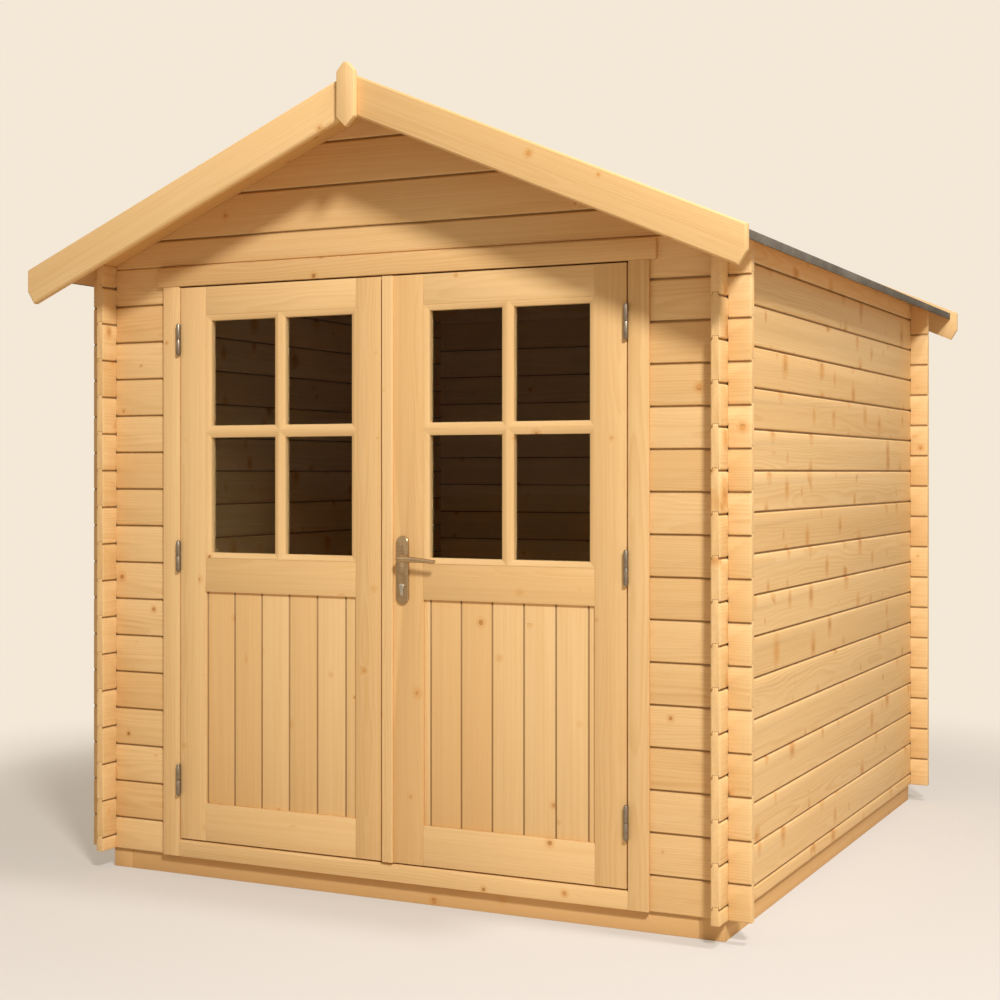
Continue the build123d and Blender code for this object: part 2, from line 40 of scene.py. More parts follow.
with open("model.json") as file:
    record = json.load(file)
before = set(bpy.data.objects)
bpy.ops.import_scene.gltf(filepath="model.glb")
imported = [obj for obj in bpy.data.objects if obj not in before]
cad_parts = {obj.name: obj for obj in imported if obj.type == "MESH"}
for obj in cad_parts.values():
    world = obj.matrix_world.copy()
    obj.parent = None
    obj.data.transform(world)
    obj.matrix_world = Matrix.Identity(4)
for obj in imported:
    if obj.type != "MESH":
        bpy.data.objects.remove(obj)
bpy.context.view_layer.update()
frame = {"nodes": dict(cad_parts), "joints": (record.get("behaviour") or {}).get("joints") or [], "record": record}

log = logging.getLogger("shed")

Colour = tuple[float, float, float]
Point = tuple[float, float, float]
Piece = bpy.types.Object
Test = Callable[[Vector, Vector], bool]

GRAIN = "grain"
TONE = "tone"
GAP_SHADE = "gap"
MERGE = 1e-5
FLAT = math.radians(0.4)
SMOOTH = math.radians(35)
CORNER = math.radians(28)
ROOF_SLOPE = 0.428
QUARTER = math.pi / 2


class Grain(Enum):
    """Way the fibres of a board run, as a direction in the shed's frame."""

    SIDEWAYS = (1.0, 0.0, 0.0)
    DEEP = (0.0, 1.0, 0.0)
    UPRIGHT = (0.0, 0.0, 1.0)
    RIGHT_SLOPE = (1.0, 0.0, -ROOF_SLOPE)
    LEFT_SLOPE = (1.0, 0.0, ROOF_SLOPE)

    def axes(self, lying: bool = False) -> tuple[Vector, Vector, Vector]:
        """Unit vectors of a board cut this way.

        Args:
            lying: Whether its broad faces look up and down.

        Returns:
            Directions along the fibres, across the board, and through its thickness.
        """
        along = Vector(self.value).normalized()
        through = Vector((1, 0, 0)) if self is Grain.DEEP else Vector((0, 1, 0))
        across = along.cross(through).normalized()
        return (along, through, across) if lying else (along, across, through)


class Kind(Enum):
    """Finishes that the record's slots name."""

    WALL = "wall_boards"
    TRIM = "trim_boards"
    DOOR = "door_timber"
    FLOOR = "floor_boarding"
    ROOF = "roof_timber"
    BASE = "base_timber"
    FELT = "roofing_felt"
    GLASS = "window_glass"
    STEEL = "steel"
    HANDLE = "handle_steel"
    LOCK = "lock_brass"


class Graph:
    """A material or world under construction, with short calls that add and join its nodes."""

    def __init__(self, name: str, owners: Any = None) -> None:
        """Starts a material that holds a Principled shader, or a world.

        Args:
            name: Its name.
            owners: Collection that it belongs to, if it isn't the materials.
        """
        self.owner = (bpy.data.materials if owners is None else owners).new(name)
        self.owner.use_nodes = True
        self.tree = self.owner.node_tree
        self.shader = self.tree.nodes.get("Principled BSDF")

    def put(self, socket: bpy.types.NodeSocket, value: Any) -> None:
        """Joins a socket to another, or sets its value.

        Args:
            socket: The input to fill.
            value: An output socket, a number, or a tuple of numbers.
        """
        if isinstance(value, bpy.types.NodeSocket):
            self.tree.links.new(value, socket)
        elif isinstance(value, tuple) and len(value) == 3 and len(socket.default_value) == 4:
            socket.default_value = (*value, 1.0)
        else:
            socket.default_value = value

    def node(self, kind: str, *inputs: Any, **settings: Any) -> bpy.types.Node:
        """Adds a node and fills its first inputs.

        Args:
            kind: Blender's name of the node type, without ShaderNode.
            *inputs: Values for the inputs in order, None to leave one.
            **settings: Properties of the node.

        Returns:
            The new node.
        """
        made = self.tree.nodes.new("ShaderNode" + kind)
        for key, value in settings.items():
            setattr(made, key, value)
        for socket, value in zip(made.inputs, inputs):
            if value is not None:
                self.put(socket, value)
        return made

    def math(self, operation: str, a: Any, b: Any = 0.0, clamp: bool = False) -> bpy.types.NodeSocket:
        """Result of one Math node."""
        return self.node("Math", a, b, operation=operation, use_clamp=clamp).outputs[0]

    def vector(self, operation: str, a: Any, b: Any) -> bpy.types.NodeSocket:
        """Result of one Vector Math node."""
        return self.node("VectorMath", a, b, operation=operation).outputs[0]

    def noise(self, place: Any, per_metre: Point, detail: float = 2.0,
              rough: float = 0.5) -> bpy.types.NodeSocket:
        """Noise from 0 to 1.

        Args:
            place: Coordinates in metres.
            per_metre: Features to a metre along each axis.
            detail: Octaves of finer noise.
            rough: Strength of the finer octaves.

        Returns:
            The noise.
        """
        made = self.node("TexNoise", self.vector("MULTIPLY", place, per_metre))
        for name, value in (("Scale", 1.0), ("Detail", detail), ("Roughness", rough)):
            made.inputs[name].default_value = value
        return made.outputs[0]

    def span(self, value: Any, low: float, high: float, to_low: float = 0.0, to_high: float = 1.0,
             soft: bool = True) -> bpy.types.NodeSocket:
        """Value carried from one range to another, clamped at its ends."""
        made = self.node("MapRange", interpolation_type="SMOOTHSTEP" if soft else "LINEAR")
        for socket, filling in zip(made.inputs, (value, low, high, to_low, to_high)):
            self.put(socket, filling)
        return made.outputs[0]

    def mix(self, factor: Any, a: Any, b: Any, blend: str = "MIX") -> bpy.types.NodeSocket:
        """Colour between two others."""
        made = self.node("Mix", data_type="RGBA", blend_type=blend)
        for index, filling in ((0, factor), (6, a), (7, b)):
            self.put(made.inputs[index], filling)
        return made.outputs[2]

    def bump(self, height: Any, distance: float, strength: float = 1.0) -> None:
        """Joins a bump of that depth to the shader."""
        made = self.node("Bump")
        made.inputs["Strength"].default_value = strength
        made.inputs["Distance"].default_value = distance
        self.put(made.inputs["Height"], height)
        self.put(self.shader.inputs["Normal"], made.outputs["Normal"])

    def fill(self, **values: Any) -> bpy.types.Material:
        """Fills the shader's inputs, named with _ for a blank, and returns the material."""
        for name, value in values.items():
            self.put(self.shader.inputs[name.replace("_", " ")], value)
        return self.owner


@dataclass(frozen=True)
class Softwood:
    """Planed, untreated softwood: growth rings, fibres, knots and boards that differ."""

    name: str
    pale: Colour = (0.78, 0.53, 0.25)
    late: Colour = (0.67, 0.405, 0.155)
    halo: Colour = (0.66, 0.32, 0.085)
    knot: Colour = (0.33, 0.125, 0.03)
    # Dark colour painted as shade on the faces inside joints and grooves.
    shadow: Colour = (0.17, 0.075, 0.018)
    ring: float = 0.0052
    contrast: float = 0.55
    knot_radius: float = 0.0095
    knot_share: float = 0.5
    knot_rise: float = 1.0
    knot_blur: float = 1.0
    knot_depth: float = 0.82
    gap_shade_depth: float = 0.7
    knot_cell: Point = (0.24, 0.085, 0.085)
    rough: float = 0.52
    sway: float = 0.036
    fine_sway: float = 0.0022
    lighter: Colour = (1.05, 1.06, 1.09)

    def knots(self, g: Graph, place: Any) -> tuple[Any, Any, Any]:
        """Knots that run through the board's thickness, one to a cell at most.

        Args:
            g: The material's graph.
            place: Coordinates along and across the fibres.

        Returns:
            Darkness of the core, strength of the halo, and lift of the rings.
        """
        cells = g.node("TexVoronoi", g.vector("DIVIDE", place, self.knot_cell), feature="F1")
        cells.inputs["Scale"].default_value = 1.0
        middle = g.vector("MULTIPLY", cells.outputs["Position"], self.knot_cell)
        away = g.vector("MULTIPLY", g.vector("SUBTRACT", place, middle), (1.0, 1 / self.knot_rise, 0.16))
        wobble = g.noise(place, (160.0, 160.0, 160.0), 1.0)
        far = g.node("VectorMath", away, operation="LENGTH").outputs["Value"]
        far = g.math("ADD", far, g.math("MULTIPLY", g.math("SUBTRACT", wobble, 0.5), 0.003))
        chance = g.node("SeparateColor", cells.outputs["Color"]).outputs[0]
        size = g.math("MULTIPLY", g.math("SUBTRACT", chance, self.knot_share),
                      self.knot_radius / (1 - self.knot_share))
        beyond = g.math("SUBTRACT", far, size)
        core = g.span(beyond, 0.0014 * self.knot_blur, -0.0016 * self.knot_blur)
        halo = g.span(g.math("SUBTRACT", beyond, g.math("MULTIPLY", size, 0.9)), 0.006, -0.004)
        there = g.span(size, 0.0, 0.002)
        lift = g.math("MULTIPLY", g.span(beyond, 0.016, -0.004), g.math("MULTIPLY", size, 0.9))
        return tuple(g.math("MULTIPLY", part, there) for part in (core, halo, lift))

    def material(self) -> bpy.types.Material:
        """Builds the timber's nodes on the piece's own grain coordinates, with painted shade on the faces inside
        joints and grooves.
        """
        g = Graph(self.name)
        place = g.node("Attribute", attribute_name=GRAIN).outputs["Vector"]
        tone = g.node("Attribute", attribute_name=TONE).outputs["Fac"]
        core, halo, lift = self.knots(g, place)
        wave = g.noise(place, (1.3, 7.0, 7.0))
        fine_wave = g.noise(place, (5.0, 40.0, 40.0), 1.0)
        _, across, through = g.node("SeparateXYZ", place).outputs
        squares = [g.math("MULTIPLY", part, part) for part in (across, through)]
        radius = g.math("POWER", g.math("ADD", *squares), 0.5)
        radius = g.math("ADD", radius, g.math("MULTIPLY", wave, self.sway))
        radius = g.math("ADD", radius, g.math("MULTIPLY", fine_wave, self.fine_sway))
        radius = g.math("ADD", radius, lift)
        year = g.math("FRACT", g.math("DIVIDE", radius, self.ring))
        late = g.math("MULTIPLY", g.span(year, 0.15, 0.86), g.span(year, 1.0, 0.9))
        patch = g.noise(place, (1.1, 14.0, 14.0))
        late = g.math("MULTIPLY", late, g.span(patch, 0.25, 0.75, 0.25, 1.0))
        fibre = g.noise(place, (9.0, 900.0, 900.0), 2.0, 0.6)
        streak = g.noise(place, (1.6, 90.0, 90.0))
        drawn = g.math("MULTIPLY", late, self.contrast)
        drawn = g.math("ADD", drawn, g.span(fibre, 0.3, 0.9, -0.1, 0.28, soft=False))
        drawn = g.math("ADD", drawn, g.span(streak, 0.3, 0.8, -0.12, 0.34, soft=False), clamp=True)
        colour = g.mix(drawn, self.pale, self.late)
        warm = g.mix(g.math("MULTIPLY", g.math("ABSOLUTE", tone), 0.22), colour, self.halo)
        lighter = g.mix(1.0, colour, self.lighter, "MULTIPLY")
        colour = g.mix(g.math("GREATER_THAN", tone, 0.0), warm, lighter)
        colour = g.mix(g.math("MULTIPLY", halo, 0.38), colour, self.halo)
        heart = g.mix(g.span(fine_wave, 0.3, 0.7), self.knot, self.halo)
        colour = g.mix(g.math("MULTIPLY", core, self.knot_depth), colour, heart)
        # Painted shade: faces deep in the board joints and panel grooves take the dark shadow colour.
        gap = g.node("Attribute", attribute_name=GAP_SHADE).outputs["Fac"]
        colour = g.mix(g.math("MULTIPLY", gap, self.gap_shade_depth), colour, self.shadow)
        height = g.math("SUBTRACT", g.math("MULTIPLY", fibre, 0.6), g.math("MULTIPLY", late, 0.5))
        g.bump(height, 0.00028, 0.6)
        rough = g.span(drawn, 0.0, 1.0, self.rough, self.rough + 0.12, soft=False)
        return g.fill(Base_Color=colour, Roughness=rough, Specular_IOR_Level=0.32)


@dataclass(frozen=True)
class MineralFelt:
    """Bitumen felt strewn with grey mineral granules."""

    name: str
    light: Colour = (0.24, 0.21, 0.17)
    dark: Colour = (0.085, 0.074, 0.06)
    granule: float = 0.0019

    def material(self) -> bpy.types.Material:
        """Builds the granules, their mottling and their bump."""
        g = Graph(self.name)
        place = g.node("TexCoord").outputs["Object"]
        grain = g.node("TexVoronoi", place, feature="F1")
        grain.inputs["Scale"].default_value = 1 / self.granule
        speck = g.node("SeparateColor", grain.outputs["Color"]).outputs[0]
        mottle = g.noise(place, (5.0, 5.0, 5.0), 4.0, 0.6)
        worn = g.noise(place, (1.2, 22.0, 22.0), 3.0)
        amount = g.math("ADD", g.math("MULTIPLY", speck, 0.75), g.span(mottle, 0.3, 0.7, -0.15, 0.25))
        amount = g.math("ADD", amount, g.span(worn, 0.35, 0.7, -0.06, 0.1), clamp=True)
        colour = g.mix(amount, self.dark, self.light)
        g.bump(g.math("SUBTRACT", 1.0, grain.outputs["Distance"]), 0.0009, 0.8)
        return g.fill(Base_Color=colour, Roughness=0.92, Specular_IOR_Level=0.25)


@dataclass(frozen=True)
class Metal:
    """Brushed or plated metal with faint lines and handling marks."""

    name: str
    colour: Colour
    shade: Colour
    rough: float
    lines: Point = (40.0, 40.0, 1400.0)
    line_depth: float = 0.00004

    def material(self) -> bpy.types.Material:
        """Builds the brushing, the cloudy wear and the gloss."""
        g = Graph(self.name)
        place = g.node("TexCoord").outputs["Object"]
        brushed = g.noise(place, self.lines, 3.0, 0.6)
        cloud = g.noise(place, (70.0, 70.0, 70.0), 3.0, 0.6)
        colour = g.mix(g.span(cloud, 0.3, 0.75), self.colour, self.shade)
        rough = g.math("ADD", g.span(brushed, 0.25, 0.75, self.rough - 0.06, self.rough + 0.08),
                       g.span(cloud, 0.45, 0.8, 0.0, 0.07))
        g.bump(brushed, self.line_depth)
        return g.fill(Base_Color=colour, Metallic=1.0, Roughness=rough)


@dataclass(frozen=True)
class ClearGlass:
    """Float glass, clear with a trace of green and a few faint smears."""

    name: str
    tint: Colour = (0.95, 0.955, 0.93)
    smeared: Colour = (0.90, 0.925, 0.90)

    def material(self) -> bpy.types.Material:
        """Builds a transmitting shader whose gloss varies a little."""
        g = Graph(self.name)
        place = g.node("TexCoord").outputs["Object"]
        smear = g.noise(place, (6.0, 6.0, 2.5), 3.0)
        rough = g.span(smear, 0.45, 0.85, 0.0, 0.05)
        tinted = g.mix(g.span(smear, 0.2, 0.8), self.tint, self.smeared)
        return g.fill(Base_Color=tinted, Roughness=rough, IOR=1.10, Transmission_Weight=1.0)


class Finishes:
    """Every finish of the shed, each made once."""

    def __init__(self) -> None:
        """Builds the materials that the pieces take."""
        self.made = {
            Kind.WALL: Softwood("wall boards").material(),
            Kind.TRIM: Softwood("trim boards", knot_share=0.68, contrast=0.5).material(),
            Kind.DOOR: Softwood("door timber", ring=0.0042, contrast=0.42, knot_share=0.6).material(),
            Kind.FLOOR: Softwood("floor boards", pale=(0.70, 0.42, 0.165), contrast=0.65).material(),
            Kind.ROOF: Softwood("roof boards", pale=(0.74, 0.44, 0.17), contrast=0.6).material(),
            Kind.BASE: Softwood("base timber", pale=(0.68, 0.41, 0.17), ring=0.006, rough=0.68).material(),
            Kind.FELT: MineralFelt("mineral felt").material(),
            Kind.GLASS: ClearGlass("clear glass").material(),
            Kind.STEEL: Metal("plated steel", (0.33, 0.28, 0.22), (0.25, 0.21, 0.165), 0.36).material(),
            # The handle steel's brown tint is painted reflection of the warm wood and backdrop around it.
            Kind.HANDLE: Metal("satin steel", (0.54, 0.385, 0.22), (0.44, 0.31, 0.18), 0.27).material(),
            Kind.LOCK: Metal("nickel", (0.70, 0.66, 0.57), (0.60, 0.55, 0.46), 0.22).material(),
        }
        self.spiked = Softwood("side wall boards", knot=(0.46, 0.18, 0.04), knot_rise=1.5, knot_radius=0.019,
                               knot_share=0.42, knot_blur=3.6, knot_depth=0.62,
                               knot_cell=(0.20, 0.10, 0.085)).material()

    def of(self, kind: Kind) -> bpy.types.Material:
        """The material of a finish."""
        return self.made[kind]


def body_of(node: str) -> str:
    """Name of the body that carries a CAD node."""
    bodies = frame["record"]["behaviour"]["bodies"]
    return next(name for name, members in bodies.items() if node in members)


def alone(piece: Piece) -> None:
    """Makes a piece the only selected object and the active one.

    Args:
        piece: The object that the next operators act on.
    """
    if bpy.context.mode != "OBJECT":
        bpy.ops.object.mode_set(mode="OBJECT")
    bpy.ops.object.select_all(action="DESELECT")
    piece.select_set(True)
    bpy.context.view_layer.objects.active = piece


def edit(piece: Piece, mode: str = "FACE") -> None:
    """Opens a piece in edit mode with nothing selected."""
    alone(piece)
    bpy.ops.object.mode_set(mode="EDIT")
    bpy.ops.mesh.select_mode(type=mode)
    bpy.ops.mesh.select_all(action="DESELECT")


def leave() -> None:
    """Closes edit mode."""
    bpy.ops.object.mode_set(mode="OBJECT")


def pick(kind: str, test: Test) -> int:
    """Selects the faces or edges of the piece in edit mode that pass a test.

    Args:
        kind: FACE, to test each centre and normal, or EDGE, to test each pair of ends.
        test: Says whether one is wanted.

    Returns:
        How many are selected.
    """
    mesh = bpy.context.edit_object.data
    bpy.ops.mesh.select_mode(type=kind)
    work = bmesh.from_edit_mesh(mesh)
    parts = work.faces if kind == "FACE" else work.edges
    for part in parts:
        facts = (part.calc_center_median(), part.normal) if kind == "FACE" else [v.co for v in part.verts]
        part.select_set(test(*facts))
    bmesh.update_edit_mesh(mesh)
    return sum(part.select for part in parts)


def add_modifier(piece: Piece, kind: str, **settings: Any) -> None:
    """Adds a modifier to a piece and applies it at once."""
    alone(piece)
    modifier = piece.modifiers.new(kind.lower(), kind)
    for key, value in settings.items():
        setattr(modifier, key, value)
    bpy.ops.object.modifier_apply(modifier=modifier.name)


def ease(piece: Piece, width: float, segments: int = 2) -> None:
    """Rounds a piece's sharp edges and shades it smooth between the flats.

    Args:
        piece: The object to ease.
        width: Width of the rounding in metres.
        segments: Facets across the rounding.
    """
    add_modifier(piece, "BEVEL", width=width, segments=segments, limit_method="ANGLE",
                 angle_limit=CORNER, harden_normals=False)
    alone(piece)
    bpy.ops.object.shade_smooth_by_angle(angle=SMOOTH)


def settle(piece: Piece) -> None:
    """Moves an object's place into its mesh, so that it sits at the origin."""
    alone(piece)
    bpy.ops.object.transform_apply(location=True, rotation=True, scale=True)


def join(first: Piece, others: Sequence[Piece]) -> Piece:
    """Joins further objects into the first one and returns it."""
    alone(first)
    for other in others:
        other.select_set(True)
    bpy.ops.object.join()
    return bpy.context.object


def cylinder(vertices: int, radius: float, depth: float, place: Sequence[float] = (0, 0, 0),
             level: bool = False) -> Piece:
    """A cylinder to be shaped, with its place in its mesh.

    Args:
        vertices: Sides of its round.
        radius: Its radius.
        depth: Its length.
        place: Its middle.
        level: Whether it lies along Y instead of standing up.

    Returns:
        The new object.
    """
    bpy.ops.object.select_all(action="DESELECT")
    bpy.ops.mesh.primitive_cylinder_add(vertices=vertices, radius=radius, depth=depth, location=place,
                                        rotation=(QUARTER if level else 0, 0, 0))
    piece = bpy.context.object
    settle(piece)
    return piece


def copy_node(node: str, name: str) -> Piece:
    """A copy of a CAD node as a clean mesh of flat faces.

    Args:
        node: The CAD node.
        name: The copy's name.

    Returns:
        The new object, merged and with its flats dissolved.
    """
    piece = bpy.data.objects.new(name, frame["nodes"][node].data.copy())
    piece.data.name = name
    bpy.context.scene.collection.objects.link(piece)
    edit(piece)
    bpy.ops.mesh.select_all(action="SELECT")
    bpy.ops.mesh.remove_doubles(threshold=MERGE)
    bpy.ops.mesh.dissolve_limited(angle_limit=FLAT)
    leave()
    bpy.ops.mesh.customdata_custom_splitnormals_clear()
    return piece


def islands(mesh: bpy.types.Mesh) -> list[int]:
    """Number of the loose part that each vertex belongs to."""
    owner = list(range(len(mesh.vertices)))

    def root(i: int) -> int:
        """Top of a vertex's chain."""
        while owner[i] != i:
            owner[i] = owner[owner[i]]
            i = owner[i]
        return i

    for edge in mesh.edges:
        a, b = (root(i) for i in edge.vertices)
        owner[max(a, b)] = min(a, b)
    return [root(i) for i in range(len(owner))]


@dataclass(frozen=True)
class Sawing:
    """How a node's boards lie in their logs, written to the mesh for the timber's nodes."""

    grain: Grain
    other: Optional[Grain] = None
    is_other: Optional[Callable[[Vector], bool]] = None
    split: Optional[Vector] = None
    pitch: float = 1.0
    origin: float = 0.0
    lying: bool = False
    in_shaded_gap: Optional[Test] = None
    heart_aside: float = 0.05
    heart_away: tuple[float, float] = (0.045, 0.12)
    log_length: float = 40

    def write(self, piece: Piece) -> None:
        """Stores grain coordinates, a tone for each board, and which faces lie in a gap, where shade is painted.

        Args:
            piece: The object, with its final mesh.
        """
        mesh = piece.data
        part = islands(mesh)
        place = mesh.attributes.new(GRAIN, "FLOAT_VECTOR", "CORNER")
        tone = mesh.attributes.new(TONE, "FLOAT", "FACE")
        gap = mesh.attributes.new(GAP_SHADE, "FLOAT", "FACE")
        boards: dict[tuple, tuple[Vector, float]] = {}
        for face in mesh.polygons:
            turned = bool(self.is_other and self.is_other(face.center))
            grain = self.other if turned and self.other else self.grain
            cell = math.floor((face.center.dot(self.split) - self.origin) / self.pitch) if self.split else 0
            key = (part[face.vertices[0]], cell, turned)
            if key not in boards:
                boards[key] = self.log_place(piece.name, len(boards), mesh.vertices[key[0]].co, grain)
            shift, shade = boards[key]
            tone.data[face.index].value = shade
            gap.data[face.index].value = bool(self.in_shaded_gap and self.in_shaded_gap(face.center, face.normal))
            axes = grain.axes(self.lying)
            for corner in face.loop_indices:
                spot = mesh.vertices[mesh.loops[corner].vertex_index].co
                place.data[corner].vector = Vector([spot.dot(axis) for axis in axes]) + shift

    def log_place(self, name: str, count: int, near: Vector, grain: Grain) -> tuple[Vector, float]:
        """Where one board was cut from its log, and how warm it is.

        Args:
            name: The piece's name, which seeds the choice.
            count: How many boards came before.
            near: A point on the board.
            grain: Way its fibres run.

        Returns:
            Shift of its grain coordinates, and its tone from -1 to 1.
        """
        chance = random.Random(f"{name} {count}")
        _, first, second = grain.axes(self.lying)
        side = chance.choice((-1.0, 1.0))
        heart_first = chance.uniform(-self.heart_aside, self.heart_aside) - near.dot(first)
        heart_second = side * chance.uniform(*self.heart_away) - near.dot(second)
        return Vector((chance.uniform(0, self.log_length), heart_first, heart_second)), chance.uniform(-1, 1)


@dataclass
class Builder:
    """What every sub-assembly of the shed shares: its finishes and a count of pieces."""

    finishes: Finishes
    count: int = 0

    def dress(self, piece: Piece, kind: Kind, body: str, *nodes: str,
              material: Optional[bpy.types.Material] = None) -> None:
        """Gives a finished piece its material, ties it to the frame and logs it.

        Args:
            piece: The object.
            kind: Slot that it takes its finish from.
            body: Body that it rides on.
            *nodes: CAD nodes that it stands for.
            material: Material, if it isn't the slot's usual one.
        """
        piece.data.materials.clear()
        piece.data.materials.append(material or self.finishes.of(kind))
        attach(piece, body)
        if nodes:
            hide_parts(*nodes)
        self.report(piece)

    def timber(self, node: str, kind: Kind, sawing: Sawing, arris: float = 0.0012,
               material: Optional[bpy.types.Material] = None,
               shape: Optional[Callable[[Piece], None]] = None) -> None:
        """Replaces one CAD node of timber with an eased, grained copy.

        Args:
            node: The CAD node.
            kind: Slot of its finish.
            sawing: Way its boards are cut.
            arris: Width of its rounded edges in metres.
            material: Material, if it isn't the slot's usual one.
            shape: Further modelling, done before the edges are eased.
        """
        piece = copy_node(node, node + "_timber")
        if shape:
            shape(piece)
        ease(piece, arris)
        sawing.write(piece)
        self.dress(piece, kind, body_of(node), node, material=material)

    def report(self, piece: Piece) -> None:
        """Logs a finished piece with its number of faces."""
        self.count += 1
        log.info("%s: %d faces", piece.name, len(piece.data.polygons))


@dataclass
class Walls:
    """Walls and gables of boards that cross and interlock at the corners."""

    maker: Builder
    arris: float = 0.0008
    end_arris: float = 0.0042
    long_edge: float = 0.02
    tongue_depth: float = 0.0045

    def ease_ends(self, piece: Piece, axis: int) -> None:
        """Takes the upright arrises off the boards' projecting ends.

        Args:
            piece: A wall's boards.
            axis: 0 where the boards run along X, 1 where they run along Y.
        """
        spots = [v.co for v in piece.data.vertices]
        tip = max(abs(spot[axis]) for spot in spots)
        faces = [limit(spot[1 - axis] for spot in spots) for limit in (min, max)]

        def at_end(a: Vector, b: Vector) -> bool:
            """Upright edge at a board's end, on its inner or outer face."""
            upright = (a.xy - b.xy).length < MERGE and abs(a.z - b.z) > self.long_edge
            outside = any(abs(a[1 - axis] - face) < MERGE for face in faces)
            return upright and outside and abs(abs(a[axis]) - tip) < MERGE

        edit(piece, "EDGE")
        log.info("%s: %d arrises", piece.name, pick("EDGE", at_end))
        bpy.ops.mesh.bevel(offset=self.end_arris, segments=2, affect="EDGES")
        leave()

    def sawing(self, node: str, axis: int) -> Sawing:
        """Way that a wall's boards are cut, with the flanks of their tongues in the gaps marked for painted shade.

        Args:
            node: The wall's CAD node.
            axis: 0 where the boards run along X, 1 where they run along Y.

        Returns:
            The wall's sawing.
        """
        low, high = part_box(node)
        near, far = low[1 - axis] + self.tongue_depth, high[1 - axis] - self.tongue_depth

        def on_flank(centre: Vector, normal: Vector) -> bool:
            """Whether a face lies as deep as a tongue and isn't a board's end."""
            return near < centre[1 - axis] < far and abs(normal[axis]) < 0.5

        return Sawing((Grain.SIDEWAYS, Grain.DEEP)[axis], in_shaded_gap=on_flank)

    def build(self) -> None:
        """Makes the five walls and the two gables."""
        maker = self.maker
        sets = ((0, None, ("front_wall_left", "front_wall_right", "back_wall")),
                (1, maker.finishes.spiked, ("left_wall", "right_wall")))
        for axis, material, nodes in sets:
            for node in nodes:
                maker.timber(node, Kind.WALL, self.sawing(node, axis), self.arris, material,
                             lambda p: self.ease_ends(p, axis))
        for node in ("front_gable", "back_gable"):
            maker.timber(node, Kind.WALL, self.sawing(node, 0), self.arris)


@dataclass
class BaseAndFloor:
    """Beams on the ground, joists and the boards of the floor."""

    maker: Builder
    beam_arris: float = 0.002
    board_arris: float = 0.0008
    floor_board: float = 0.121

    def build(self) -> None:
        """Makes the base and the floor."""
        maker = self.maker
        for side in ("front", "back"):
            maker.timber(f"base_beam_{side}", Kind.BASE, Sawing(Grain.SIDEWAYS), self.beam_arris)
        for node in ("base_beam_left", "base_beam_right", "floor_joists"):
            maker.timber(node, Kind.BASE, Sawing(Grain.DEEP), self.beam_arris)
        low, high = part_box("floor_boards")
        depth = high.y - low.y
        pitch = depth / round(depth / self.floor_board)
        boards = Sawing(Grain.SIDEWAYS, split=Vector((0, 1, 0)), pitch=pitch, origin=low.y, lying=True)
        maker.timber("floor_boards", Kind.FLOOR, boards, self.board_arris)


